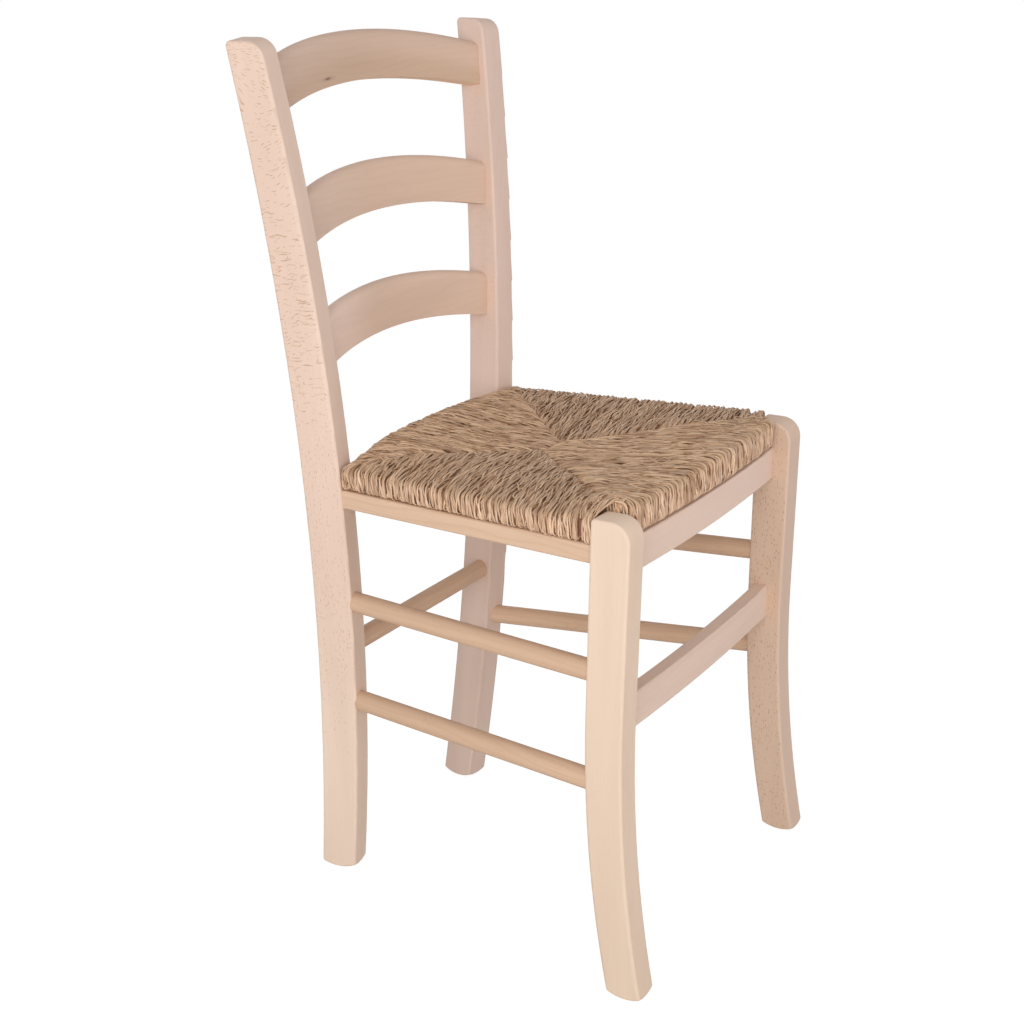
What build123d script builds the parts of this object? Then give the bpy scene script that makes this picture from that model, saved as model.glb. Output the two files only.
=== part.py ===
from build123d import *
from math import atan2, degrees, sqrt
import os

# A side chair of beech with a drop-in rush seat. Millimetres, +Z up, the front faces -Y.
# The origin is on the floor, under the middle of the chair. Left is -X, right is +X.

# Back posts: flat curved boards, splayed outward and turned in toward each other.
POST_LENGTH = 885.0
POST_WIDTH = 30.0
POST_DEPTH = 41.7
POST_WAIST_Z = 365.0
POST_FRONT_RADIUS = 3000.0
POST_REAR_RADIUS = 3350.0
POST_FOOT_X = 119.5
POST_FRONT_Y = 131.92
POST_SPLAY = 4.72
POST_TOE_IN = 9.2
POST_TOP_FRONT_ROUND = 18.0
POST_TOP_REAR_ROUND = 4.5

# Front legs: straight above the knee, then a curve that kicks the foot forward.
LEG_TOP_Z = 478.5
LEG_KNEE_Z = 285.0
LEG_WIDTH = 32.0
LEG_DEPTH = 38.6
LEG_TOP_SPREAD = 1.3
LEG_FOOT_X = 195.2
LEG_FRONT_Y = -202.88
LEG_FOOT_KICK = 27.4
LEG_FOOT_DEPTH = 36.0
LEG_TOP_LEAN = 2.9
LEG_LEAN_IN = 0.62
LEG_TOP_FRONT_ROUND = 20.0
LEG_TOP_REAR_ROUND = 4.0

# Rounded edges of the sawn pieces, the stock left below the floor line before the feet are cut level,
# and the shallow dome to which each foot is sanded round its flat middle.
EDGE_ROUND = 3.0
FOOT_TRIM = 10.0
FOOT_DOME_RADIUS = 46.0
FOOT_FLAT_DIAMETER = 20.0
FOOT_RIM_ROUND = 2.5

# Back slats, from the top down: bowed to the rear, arched upward, all cut from one pattern.
# The top one is placed from the top of the posts, the lower one from the seat rails, the middle one between.
SLAT_NAMES = ("top_slat", "middle_slat", "lower_slat")
SLAT_LEVEL = (1.0, 0.489, 0.0)
TOP_SLAT_DROP = 52.4
LOWER_SLAT_RISE = 129.4
SLAT_LEAN = (8.4, 4.9, 4.1)
SLAT_SETBACK = (8.8, 9.9, 13.6)
SLAT_HEIGHT = 50.2
SLAT_THICKNESS = 16.0
SLAT_BOW_RADIUS = 615.0
SLAT_TOP_ARCH_RADIUS = 687.0
SLAT_BOTTOM_ARCH_RADIUS = 762.0
SLAT_TOP_FRONT_ROUND = 9.0
SLAT_TOP_REAR_ROUND = 4.0
SLAT_BOTTOM_ROUND = 1.5
SLAT_TENON_THICKNESS = 9.0
SLAT_TENON_HEIGHT = 32.0
SLAT_TENON_LENGTH = 18.0

# Front seat rail (apron) and front stretcher: between the front legs, set back from them, bowed forward.
APRON_HEIGHT = 34.3
APRON_THICKNESS = 20.0
APRON_SETBACK = 15.8
APRON_BOW = 6.5
APRON_TENON_RISE = 4.0
STRETCHER_BOTTOM_Z = 258.0
STRETCHER_HEIGHT = 36.3
STRETCHER_THICKNESS = 15.2
STRETCHER_SETBACK = 15.2
STRETCHER_BOW = 4.9
STRETCHER_TENON_HEIGHT = 20.0
BOARD_TENON_THICKNESS = 8.0
BOARD_TENON_LENGTH = 18.0
BOARD_ROUND = 1.8

# Side seat rails and rear seat rail.
RAIL_HEIGHT = 19.0
RAIL_THICKNESS = 20.0
RAIL_BACK_ACROSS = 2.4
RAIL_FRONT_ACROSS = -4.4
RAIL_BACK_BOTTOM_Z = 427.8
RAIL_FRONT_BOTTOM_Z = 431.7
RAIL_TENON_THICKNESS = 10.0
RAIL_TENON_HEIGHT = 11.0
RAIL_TENON_LENGTH = 15.0
RAIL_ROUND = 3.0
REAR_RAIL_THICKNESS = 16.0
TENON_WALL = 3.0
REAR_TENON_WALL = 7.0

# Round stretchers.
DOWEL_DIAMETER = 21.0
DOWEL_SOCKET = 18.0
DOWEL_BACK_ACROSS = 3.5
UPPER_DOWEL_BACK_Z = 322.2
UPPER_DOWEL_FRONT_Z = 326.5
LOWER_DOWEL_BACK_Z = 208.3
LOWER_DOWEL_FRONT_Z = 215.9
REAR_DOWEL_Z = 264.3
REAR_DOWEL_DEPTH = 17.0

# Drop-in seat: its own frame of four rails with the rush wound over it.
SEAT_POST_GAP = 1.5
SEAT_FRONT_OVERHANG = 2.7
SEAT_SIDE_OVERHANG_REAR = 12.0
SEAT_SIDE_OVERHANG_FRONT = 17.0
SEAT_DISH = 8.0
SEAT_DISH_REACH = 130.0
SEAT_LEG_GAP = 1.5
SEAT_TOP_ROUND = 9.0
SEAT_BOTTOM_ROUND = 7.0
SEAT_CORNER_ROUND = 12.0
FRAME_THICKNESS = 16.0
FRAME_WIDTH = 34.0
FRAME_COVER = 6.0
FRAME_TOP_COVER = 7.5
FRAME_BARE_END = 6.0
FRAME_TENON = 10.0

# Seat screws, driven up through the side rails at these distances from the rails' ends.
SCREW_BACK_INSET = 45.0
SCREW_FRONT_INSET = 50.0
SCREW_SHANK = 4.0
SCREW_HEAD = 8.0
SCREW_HEAD_HEIGHT = 3.0
SCREW_BITE = 11.0

# Clearances.
GLUE_GAP = 0.1
SHOULDER_GAP = 0.05
REST_GAP = 0.3

# Size of the blocks that trim the pieces, and blocks that start at X = 0.
REACH = 600.0
SIDE_ON = (Align.MIN, Align.CENTER, Align.CENTER)


# Frames of the posts and legs

POST_FRAME = Pos(POST_FOOT_X, POST_FRONT_Y, 0) * Rot(0, POST_SPLAY, 0) * Rot(0, 0, -POST_TOE_IN)
LEG_FRAME = Pos(LEG_FOOT_X, LEG_FRONT_Y, 0) * Rot(0, -LEG_LEAN_IN, 0)


def bulge(radius, offset):
    """How far a circle falls back from its crest at this offset along its tangent."""
    return radius - sqrt(radius**2 - offset**2)


def post_front(z):
    """Depth of the post's front face at a height along the post."""
    return bulge(POST_FRONT_RADIUS, z - POST_WAIST_Z)


def post_rear(z):
    """Depth of the post's rear face at a height along the post."""
    return POST_DEPTH + bulge(POST_REAR_RADIUS, z - POST_WAIST_Z)


def post_point(across, depth, z):
    """A point given in the right post's own frame, as a place on the chair."""
    return (POST_FRAME * Pos(across, depth, z)).position


def leg_point(across, depth, z):
    """A point given in the right leg's own frame, as a place on the chair."""
    return (LEG_FRAME * Pos(across, depth, z)).position


def along_post(z):
    """Distance along the splayed post that reaches this height above the floor."""
    return z / POST_FRAME.z_axis.direction.Z


def post_slope(z):
    """How far the post's front face leans back at this height, in degrees."""
    return degrees(atan2(z - POST_WAIST_Z, POST_FRONT_RADIUS))


def leg_rear(z):
    """Depth of the leg's rear face at a height above the knee."""
    return LEG_DEPTH + (LEG_TOP_SPREAD - LEG_TOP_LEAN) * (z - LEG_KNEE_Z) / (LEG_TOP_Z - LEG_KNEE_Z)


LEG_REAR_SLOPE = degrees(atan2(LEG_TOP_LEAN - LEG_TOP_SPREAD, LEG_TOP_Z - LEG_KNEE_Z))


# Lines that several pieces share: the side rails' ends, the plane on which the seat rests, the seat's plan

RAIL_BACK_Z = along_post(RAIL_BACK_BOTTOM_Z + RAIL_HEIGHT / 2)
RAIL_FRONT_Z = RAIL_FRONT_BOTTOM_Z + RAIL_HEIGHT / 2
RAIL_BACK = post_point(RAIL_BACK_ACROSS, post_front(RAIL_BACK_Z), RAIL_BACK_Z)
RAIL_FRONT = leg_point(RAIL_FRONT_ACROSS, leg_rear(RAIL_FRONT_Z), RAIL_FRONT_Z)
RAIL_RUN = (RAIL_FRONT - RAIL_BACK).normalized()
RAIL_BACK_TOP = RAIL_BACK_BOTTOM_Z + RAIL_HEIGHT
RAIL_FRONT_TOP = RAIL_FRONT_BOTTOM_Z + RAIL_HEIGHT


def seat_rest_z(y):
    """Height of the plane on which the drop-in seat rests."""
    share = (y - RAIL_BACK.Y) / (RAIL_FRONT.Y - RAIL_BACK.Y)
    return RAIL_BACK_TOP + share * (RAIL_FRONT_TOP - RAIL_BACK_TOP)


SEAT_TILT = degrees(atan2(seat_rest_z(1) - seat_rest_z(0), 1))
SEAT_FRAME = Pos(0, 0, seat_rest_z(0)) * Rot(SEAT_TILT, 0, 0)

APRON_FRONT_Y = LEG_FRONT_Y + APRON_SETBACK
APRON_TOP_Z = min(seat_rest_z(APRON_FRONT_Y - APRON_BOW), seat_rest_z(APRON_FRONT_Y + APRON_THICKNESS))
APRON_BOTTOM_Z = APRON_TOP_Z - APRON_HEIGHT
STRETCHER_FRONT_Y = LEG_FRONT_Y + STRETCHER_SETBACK

SEAT_REAR_Y = RAIL_BACK.Y - SEAT_POST_GAP
SEAT_FRONT_Y = APRON_FRONT_Y - SEAT_FRONT_OVERHANG
SEAT_MIDDLE_Y = (SEAT_REAR_Y + SEAT_FRONT_Y) / 2
SEAT_REAR_HALF_WIDTH = RAIL_BACK.X + SEAT_SIDE_OVERHANG_REAR
SEAT_FRONT_HALF_WIDTH = RAIL_FRONT.X + SEAT_SIDE_OVERHANG_FRONT
SEAT_THICKNESS = FRAME_COVER + FRAME_THICKNESS + FRAME_TOP_COVER

SCREW_Y = (RAIL_BACK.Y - SCREW_BACK_INSET, RAIL_FRONT.Y + SCREW_FRONT_INSET)


# Small tools

def both_sides(right):
    """The right piece and its mirror image, as (left, right)."""
    return mirror(right, about=Plane.YZ), right


def upright(run):
    """The direction square to a run that points most upward."""
    return run.cross(Vector(0, 0, 1)).cross(run)


def bar(start, end, width, height):
    """A straight bar between two points, its height upright."""
    run = end - start
    plane = Plane(origin=start, x_dir=run, z_dir=upright(run))
    return plane * Box(run.length, width, height, align=SIDE_ON)


def tenon(length, thickness, height, root, grow=0.0):
    """A tenon along +X from its shoulder at X = 0, rooted behind it; grow makes the matching mortise."""
    block = Box(root + length + grow, thickness + 2 * grow, height + 2 * grow, align=SIDE_ON)
    return Pos(-root, 0, 0) * fillet(block.edges().filter_by(Axis.X), min(thickness, height) / 3)


def round_dowel(start, end, radius):
    """A round bar between two points."""
    run = end - start
    plane = Plane(origin=start, z_dir=run)
    return plane * Cylinder(radius, run.length, align=(Align.CENTER, Align.CENTER, Align.MIN))


def standing_board(outline, width, place):
    """A sawn board from its side outline: put in place, its long edges rounded, then its foot shaped."""
    solid = place * extrude(outline, amount=width / 2, dir=(1, 0, 0), both=True)
    across = place.x_axis.direction
    sides = [face for face in solid.faces() if abs(face.normal_at().dot(across)) > 0.9999]
    above_floor = [edge for side in sides for edge in side.edges() if edge.center().Z > 0]
    return domed_foot(fillet(above_floor, EDGE_ROUND))


def domed_foot(board):
    """The board cut level with the floor, its foot rounded to a dome that stops at a flat middle."""
    board -= Box(REACH * 2, REACH * 2, REACH, align=(Align.CENTER, Align.CENTER, Align.MAX))
    middle = board.faces().sort_by(Axis.Z)[0].center()
    rise = sqrt(FOOT_DOME_RADIUS**2 - (FOOT_FLAT_DIAMETER / 2) ** 2)
    skirt = Cylinder(FOOT_DOME_RADIUS, rise, align=(Align.CENTER, Align.CENTER, Align.CENTER))
    skirt -= Pos(0, 0, rise) * Sphere(FOOT_DOME_RADIUS)
    board -= Pos(middle.X, middle.Y, 0) * skirt
    dome = board.faces().filter_by(GeomType.SPHERE)[0]
    return fillet([edge for edge in dome.edges() if edge.center().Z > FOOT_RIM_ROUND / 4], FOOT_RIM_ROUND)


# Posts and legs before their mortises are cut

def post_blank():
    low, high = -FOOT_TRIM, POST_LENGTH
    front = ThreePointArc((0, post_front(low), low), (0, 0, POST_WAIST_Z), (0, post_front(high), high))
    rear = ThreePointArc((0, post_rear(high), high), (0, POST_DEPTH, POST_WAIST_Z), (0, post_rear(low), low))
    outline = make_face([front, Line(front @ 1, rear @ 0), rear, Line(rear @ 1, front @ 0)])
    top = outline.vertices().sort_by(Axis.Z)[-2:].sort_by(Axis.Y)
    outline = outline.face().fillet_2d(POST_TOP_FRONT_ROUND, [top[0]])
    rear_top = outline.vertices().sort_by(Axis.Y)[-1]
    outline = outline.face().fillet_2d(POST_TOP_REAR_ROUND, [rear_top])
    return standing_board(outline, POST_WIDTH, POST_FRAME)


def leg_side(top, knee, kick):
    """One long edge of the leg: straight to the knee, then a curve that kicks forward, to below the floor."""
    straight = Line(top, knee)
    reach = (LEG_KNEE_Z + FOOT_TRIM) / LEG_KNEE_Z
    foot = (0, knee[1] - kick * reach**2, -FOOT_TRIM)
    return [straight, TangentArc(knee, foot, tangent=straight % 1)]


def leg_blank():
    front = leg_side((0, -LEG_TOP_LEAN, LEG_TOP_Z), (0, 0, LEG_KNEE_Z), LEG_FOOT_KICK)
    rear_top = (0, LEG_DEPTH + LEG_TOP_SPREAD - LEG_TOP_LEAN, LEG_TOP_Z)
    rear_kick = LEG_FOOT_KICK + LEG_DEPTH - LEG_FOOT_DEPTH
    rear = leg_side(rear_top, (0, LEG_DEPTH, LEG_KNEE_Z), rear_kick)
    ends = [Line(front[0] @ 0, rear[0] @ 0), Line(front[-1] @ 1, rear[-1] @ 1)]
    outline = make_face(front + rear + ends)
    top = outline.vertices().sort_by(Axis.Z)[-2:].sort_by(Axis.Y)
    outline = outline.face().fillet_2d(LEG_TOP_FRONT_ROUND, [top[0]])
    corner = outline.vertices().sort_by(Axis.Z)[-2:].sort_by(Axis.Y)[-1]
    outline = outline.face().fillet_2d(LEG_TOP_REAR_ROUND, [corner])
    return standing_board(outline, LEG_WIDTH, LEG_FRAME)


# Half spaces that trim a piece at its shoulder, on the right side

def post_inner_slab():
    """Everything on the post's side of its inner face."""
    return POST_FRAME * Pos(-POST_WIDTH / 2, 0, 0) * Box(REACH, REACH, 4 * REACH, align=SIDE_ON)


def post_front_slab(z):
    """Everything behind the post's front face, which is all but flat near this height."""
    place = POST_FRAME * Pos(0, post_front(z) - SHOULDER_GAP, z) * Rot(-post_slope(z), 0, 0)
    return place * Box(REACH, REACH, REACH, align=(Align.CENTER, Align.MIN, Align.CENTER))


def leg_inner_slab():
    """Everything on the leg's side of its inner face."""
    return LEG_FRAME * Pos(-LEG_WIDTH / 2, 0, 0) * Box(REACH, REACH, 4 * REACH, align=SIDE_ON)


def leg_rear_slab(z):
    """Everything in front of the leg's rear face above the knee."""
    place = LEG_FRAME * Pos(0, leg_rear(z) + SHOULDER_GAP, z) * Rot(LEG_REAR_SLOPE, 0, 0)
    return place * Box(REACH, REACH, REACH, align=(Align.CENTER, Align.MAX, Align.CENTER))


def trim_both(piece, slab):
    """Trim both ends of a piece that spans the chair."""
    return piece - slab - mirror(slab, about=Plane.YZ)


# Back slats

def slat_middle_z(index):
    """Height of the slat's middle, half way up its face."""
    high = post_point(0, 0, POST_LENGTH).Z - TOP_SLAT_DROP
    low = RAIL_BACK_TOP + LOWER_SLAT_RISE
    return low + (high - low) * SLAT_LEVEL[index] + SLAT_HEIGHT / 2


def slat_end(index):
    """Where the slat's front face meets the right post's inner face, half way up the slat's end."""
    middle = slat_middle_z(index)
    half_span = post_point(-POST_WIDTH / 2, 0, along_post(middle)).X
    z = along_post(middle - bulge(SLAT_BOTTOM_ARCH_RADIUS, half_span))
    return z, post_point(-POST_WIDTH / 2, post_front(z) + SLAT_SETBACK[index], z)


def arch(half, crest, radius):
    """A shallow arc through its crest, falling off by the same radius on both sides."""
    low = crest - bulge(radius, half)
    return ThreePointArc((-half, low), (0, crest), (half, low))


def between(first, second):
    """The face between two curves that run side by side."""
    return make_face([first, second, Line(first @ 0, second @ 0), Line(first @ 1, second @ 1)])


def slat_pattern(half):
    """A bowed and arched slat about the middle of its front face, over long at both ends."""
    front = arch(half, 0, SLAT_BOW_RADIUS)
    back = arch(half, SLAT_THICKNESS, SLAT_BOW_RADIUS + SLAT_THICKNESS)
    plan = extrude(between(front, back), amount=REACH / 4, both=True)
    top = arch(half, SLAT_HEIGHT / 2, SLAT_TOP_ARCH_RADIUS)
    low = arch(half, -SLAT_HEIGHT / 2, SLAT_BOTTOM_ARCH_RADIUS)
    face = Rot(90, 0, 0) * extrude(between(low, top), amount=REACH / 4, both=True)
    slat = plan & face
    slat = fillet(long_edges(slat, Axis.Z, -1)[0], SLAT_TOP_FRONT_ROUND)
    slat = fillet(long_edges(slat, Axis.Z, -1)[1], SLAT_TOP_REAR_ROUND)
    return fillet(long_edges(slat, Axis.Z, 0), SLAT_BOTTOM_ROUND)


def long_edges(solid, axis, which):
    """The front and rear long edges of the lowest (0) or highest (-1) face."""
    edges = solid.faces().sort_by(axis)[which].edges().sort_by(SortBy.LENGTH)[-2:]
    return edges.sort_by(Axis.Y)


def slat_tenon_place(index):
    z, _ = slat_end(index)
    depth = post_front(z) + SLAT_SETBACK[index] + SLAT_THICKNESS / 2
    return POST_FRAME * Pos(-POST_WIDTH / 2, depth, z) * Rot(-SLAT_LEAN[index], 0, 0)


def slat(index):
    _, end = slat_end(index)
    lean = Rot(-SLAT_LEAN[index], 0, 0)
    drop = bulge(SLAT_BOTTOM_ARCH_RADIUS, end.X)
    shift = (lean * Pos(0, 0, drop)).position.Y
    middle_y = end.Y + bulge(SLAT_BOW_RADIUS, end.X) + shift
    place = Pos(0, middle_y, slat_middle_z(index)) * lean
    body = trim_both(place * slat_pattern(end.X + 2 * SLAT_THICKNESS), post_inner_slab())
    peg = slat_tenon_place(index) * slat_tenon(SLAT_THICKNESS / 2)
    return body + peg + mirror(peg, about=Plane.YZ)


def slat_tenon(root, grow=0.0):
    return tenon(SLAT_TENON_LENGTH, SLAT_TENON_THICKNESS, SLAT_TENON_HEIGHT, root, grow)


# Boards between the front legs

def front_bow(half, spare, front_y, bow):
    """An arc that bows to the front by this much between its ends at +-half, and runs on past them."""
    radius = (half**2 + bow**2) / (2 * bow)
    crest = front_y - bow
    end = crest + bulge(radius, half + spare)
    return ThreePointArc((-half - spare, end), (0, crest), (half + spare, end))


def cross_board(front_y, bottom_z, thickness, height, bow):
    """A bowed board across the chair between the legs, its long edges eased."""
    half = leg_point(-LEG_WIDTH / 2, 0, bottom_z + height / 2).X
    front, back = [front_bow(half, LEG_WIDTH / 2, y, bow) for y in (front_y, front_y + thickness)]
    block = extrude(between(front, back), amount=height, dir=(0, 0, 1))
    block = fillet(block.edges().sort_by(SortBy.LENGTH)[-4:], BOARD_ROUND)
    return trim_both(Pos(0, 0, bottom_z) * block, leg_inner_slab())


def board_tenon(height, root, grow=0.0):
    return tenon(BOARD_TENON_LENGTH, BOARD_TENON_THICKNESS, height, root, grow)


def leg_inner_place(y, z):
    """A place on the right leg's inner face, X pointing into the leg."""
    return LEG_FRAME * Pos(-LEG_WIDTH / 2, y - LEG_FRONT_Y, z)


# The apron's tenon stays below the side rail's tenon, which crosses the same leg.
APRON_TENON_LOW = APRON_BOTTOM_Z + APRON_TENON_RISE
APRON_TENON_HEIGHT = RAIL_FRONT_Z - RAIL_TENON_HEIGHT / 2 - TENON_WALL - APRON_TENON_LOW
APRON_TENON_PLACE = leg_inner_place(
    APRON_FRONT_Y + APRON_THICKNESS / 2, APRON_TENON_LOW + APRON_TENON_HEIGHT / 2
)
STRETCHER_TENON_PLACE = leg_inner_place(
    STRETCHER_FRONT_Y + STRETCHER_THICKNESS / 2, STRETCHER_BOTTOM_Z + STRETCHER_HEIGHT / 2
)


def front_apron():
    peg = APRON_TENON_PLACE * board_tenon(APRON_TENON_HEIGHT, BOARD_TENON_LENGTH)
    rail = cross_board(APRON_FRONT_Y, APRON_BOTTOM_Z, APRON_THICKNESS, APRON_HEIGHT, APRON_BOW)
    return rail + peg + mirror(peg, about=Plane.YZ)


def front_stretcher():
    peg = STRETCHER_TENON_PLACE * board_tenon(STRETCHER_TENON_HEIGHT, BOARD_TENON_LENGTH)
    rail = cross_board(
        STRETCHER_FRONT_Y, STRETCHER_BOTTOM_Z, STRETCHER_THICKNESS, STRETCHER_HEIGHT, STRETCHER_BOW
    )
    return rail + peg + mirror(peg, about=Plane.YZ)


# Seat rails

def rail_tenon_places():
    """The back and front shoulder of the right side rail, X pointing out of the rail."""
    back = Plane(origin=RAIL_BACK, x_dir=-RAIL_RUN, z_dir=upright(RAIL_RUN))
    front = Plane(origin=RAIL_FRONT, x_dir=RAIL_RUN, z_dir=upright(RAIL_RUN))
    return back, front


def rail_tenon(root, grow=0.0):
    return tenon(RAIL_TENON_LENGTH, RAIL_TENON_THICKNESS, RAIL_TENON_HEIGHT, root, grow)


def side_rail():
    spare = RAIL_RUN * (2 * RAIL_THICKNESS)
    block = bar(RAIL_BACK - spare, RAIL_FRONT + spare, RAIL_THICKNESS, RAIL_HEIGHT)
    ends = block.faces().sort_by(SortBy.AREA)[:2]
    runs = [e for e in block.edges() if e not in ends[0].edges() + ends[1].edges()]
    block = fillet(runs, RAIL_ROUND) - post_front_slab(RAIL_BACK_Z) - leg_rear_slab(RAIL_FRONT_Z)
    for place in rail_tenon_places():
        block += place * rail_tenon(RAIL_TENON_LENGTH)
    for y in SCREW_Y:
        block -= screw(y, GLUE_GAP)
    return block


REAR_TENON_THICKNESS = REAR_RAIL_THICKNESS / 2


def rear_rail_place():
    """Where the rear rail's tenon enters the right post, behind the side rail's tenon."""
    depth = post_front(RAIL_BACK_Z) + RAIL_TENON_LENGTH + REAR_TENON_WALL + REAR_TENON_THICKNESS / 2
    return POST_FRAME * Pos(-POST_WIDTH / 2, depth, RAIL_BACK_Z)


def rear_rail_tenon(root, grow=0.0):
    return tenon(RAIL_TENON_LENGTH, REAR_TENON_THICKNESS, RAIL_TENON_HEIGHT, root, grow)


def rear_rail():
    middle = rear_rail_place().position
    block = Pos(0, middle.Y, middle.Z) * Box(2 * REACH, REAR_RAIL_THICKNESS, RAIL_HEIGHT)
    block = trim_both(fillet(block.edges().filter_by(Axis.X), BOARD_ROUND), post_inner_slab())
    peg = rear_rail_place() * rear_rail_tenon(REAR_RAIL_THICKNESS)
    return block + peg + mirror(peg, about=Plane.YZ)


# Round stretchers

def side_dowel(back_z, front_z, grow=0.0):
    """A round stretcher from the right post to the right leg; grow makes its sockets."""
    z = along_post(back_z)
    back = post_point(DOWEL_BACK_ACROSS, post_front(z), z)
    front = leg_point(0, LEG_DEPTH, front_z)
    reach = (front - back).normalized() * (DOWEL_SOCKET + grow)
    return round_dowel(back - reach, front + reach, DOWEL_DIAMETER / 2 + grow)


def rear_dowel(grow=0.0):
    """The round stretcher between the posts."""
    z = along_post(REAR_DOWEL_Z)
    end = post_point(-POST_WIDTH / 2, REAR_DOWEL_DEPTH, z)
    reach = Vector(end.X + DOWEL_SOCKET + grow, end.Y, end.Z)
    return round_dowel(Vector(-reach.X, reach.Y, reach.Z), reach, DOWEL_DIAMETER / 2 + grow)


DOWEL_HEIGHTS = {
    "side_stretcher_upper": (UPPER_DOWEL_BACK_Z, UPPER_DOWEL_FRONT_Z),
    "side_stretcher_lower": (LOWER_DOWEL_BACK_Z, LOWER_DOWEL_FRONT_Z),
}


# Posts and legs with their mortises and sockets

def back_post():
    post = post_blank()
    for index in range(len(SLAT_NAMES)):
        post -= slat_tenon_place(index) * slat_tenon(SLAT_THICKNESS / 2, GLUE_GAP)
    post -= rail_tenon_places()[0] * rail_tenon(RAIL_TENON_LENGTH, GLUE_GAP)
    post -= rear_rail_place() * rear_rail_tenon(REAR_RAIL_THICKNESS, GLUE_GAP)
    for heights in DOWEL_HEIGHTS.values():
        post -= side_dowel(*heights, GLUE_GAP)
    return post - rear_dowel(GLUE_GAP)


def front_leg():
    leg = leg_blank()
    leg -= APRON_TENON_PLACE * board_tenon(APRON_TENON_HEIGHT, BOARD_TENON_LENGTH, GLUE_GAP)
    leg -= STRETCHER_TENON_PLACE * board_tenon(STRETCHER_TENON_HEIGHT, BOARD_TENON_LENGTH, GLUE_GAP)
    leg -= rail_tenon_places()[1] * rail_tenon(RAIL_TENON_LENGTH, GLUE_GAP)
    for heights in DOWEL_HEIGHTS.values():
        leg -= side_dowel(*heights, GLUE_GAP)
    return leg


# Drop-in seat, in its own slightly tilted frame

NOTCH_X = leg_point(-LEG_WIDTH / 2, 0, LEG_TOP_Z).X - SEAT_LEG_GAP
NOTCH_Y = leg_point(0, leg_rear(RAIL_FRONT_Z), 0).Y + SEAT_LEG_GAP
FRAME_LOW = REST_GAP + FRAME_COVER


def seat_half_width(y):
    """Half the width of the rush at this depth."""
    share = (SEAT_REAR_Y - y) / (SEAT_REAR_Y - NOTCH_Y)
    return SEAT_REAR_HALF_WIDTH + share * (SEAT_FRONT_HALF_WIDTH - SEAT_REAR_HALF_WIDTH)


def slab_of(plan, low, thickness):
    """A flat piece of the seat from the lines round its plan."""
    plan = make_face(plan)
    return SEAT_FRAME * Pos(0, 0, low) * extrude(plan, amount=thickness, dir=(0, 0, 1))


def frame_side():
    """Right rail of the seat's own frame; its front end stays bare behind the leg."""
    rear, front = SEAT_REAR_Y - FRAME_COVER, NOTCH_Y
    outer = [(seat_half_width(y) - FRAME_COVER, y) for y in (rear, front)]
    inner = [(x - FRAME_WIDTH, y) for x, y in reversed(outer)]
    rail = slab_of(Polyline(*outer, *inner, close=True), FRAME_LOW, FRAME_THICKNESS)
    rail -= frame_front()
    rail -= frame_rear()
    for y in SCREW_Y:
        rail -= screw(y, GLUE_GAP)
    return rail


def frame_peg(half, y):
    """Tenons at both ends of a cross rail of the seat's frame."""
    length = 2 * (half + FRAME_TENON)
    place = SEAT_FRAME * Pos(0, y, FRAME_LOW + FRAME_THICKNESS / 2)
    return place * Box(length, FRAME_THICKNESS / 2, FRAME_THICKNESS / 2)


def frame_front():
    """Front rail of the seat's frame, housed in the side rails between the legs."""
    front = SEAT_FRONT_Y + FRAME_COVER
    half = NOTCH_X - FRAME_COVER
    back = front + FRAME_WIDTH
    bowed = front_bow(half, 0, front, APRON_BOW)
    rest = Polyline(bowed @ 1, (half, back), (-half, back), bowed @ 0)
    housed = (back + NOTCH_Y) / 2
    return slab_of([bowed, rest], FRAME_LOW, FRAME_THICKNESS) + frame_peg(half, housed)


def frame_rear():
    """Rear rail of the seat's frame, tenoned between the side rails."""
    rear = SEAT_REAR_Y - FRAME_COVER
    front = rear - FRAME_WIDTH
    edge = [(seat_half_width(y) - FRAME_COVER - FRAME_WIDTH, y) for y in (rear, front)]
    corners = edge + [(-x, y) for x, y in reversed(edge)]
    rail = slab_of(Polyline(*corners, close=True), FRAME_LOW, FRAME_THICKNESS)
    return rail + frame_peg(edge[0][0], (rear + front) / 2)


def rush_weave():
    """The rush as one closed form: bowed in front like the apron, notched at the legs, rounded, dished."""
    stop = NOTCH_Y + FRAME_BARE_END
    rear_corner = (SEAT_REAR_HALF_WIDTH, SEAT_REAR_Y)
    side_corner = (seat_half_width(stop), stop)
    front_corner = (NOTCH_X, SEAT_FRONT_Y)
    right = [front_corner, (NOTCH_X, stop), side_corner, rear_corner]
    sides = Polyline(*right, *[(-x, y) for x, y in reversed(right)])
    plan = make_face([front_bow(NOTCH_X, 0, SEAT_FRONT_Y, APRON_BOW), sides]).face()
    outer = [Vector(side * x, y) for x, y in (rear_corner, side_corner, front_corner) for side in (-1, 1)]
    corners = [v for v in plan.vertices() if min((Vector(v) - corner).length for corner in outer) < GLUE_GAP]
    plan = plan.fillet_2d(SEAT_CORNER_ROUND, corners)
    rush = extrude(plan, amount=SEAT_THICKNESS, dir=(0, 0, 1))
    rush = fillet(rush.faces().sort_by(Axis.Z)[-1].edges(), SEAT_TOP_ROUND)
    rush = fillet(rush.faces().sort_by(Axis.Z)[0].edges(), SEAT_BOTTOM_ROUND)
    radius = (SEAT_DISH_REACH**2 + SEAT_DISH**2) / (2 * SEAT_DISH)
    rush -= Pos(0, SEAT_MIDDLE_Y, SEAT_THICKNESS - SEAT_DISH + radius) * Sphere(radius)
    rush = SEAT_FRAME * Pos(0, 0, REST_GAP) * rush
    for rail in (*both_sides(frame_side()), frame_front(), frame_rear()):
        rush -= rail
    for y in SCREW_Y:
        for shank in both_sides(screw(y, GLUE_GAP)):
            rush -= shank
    return rush


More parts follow.
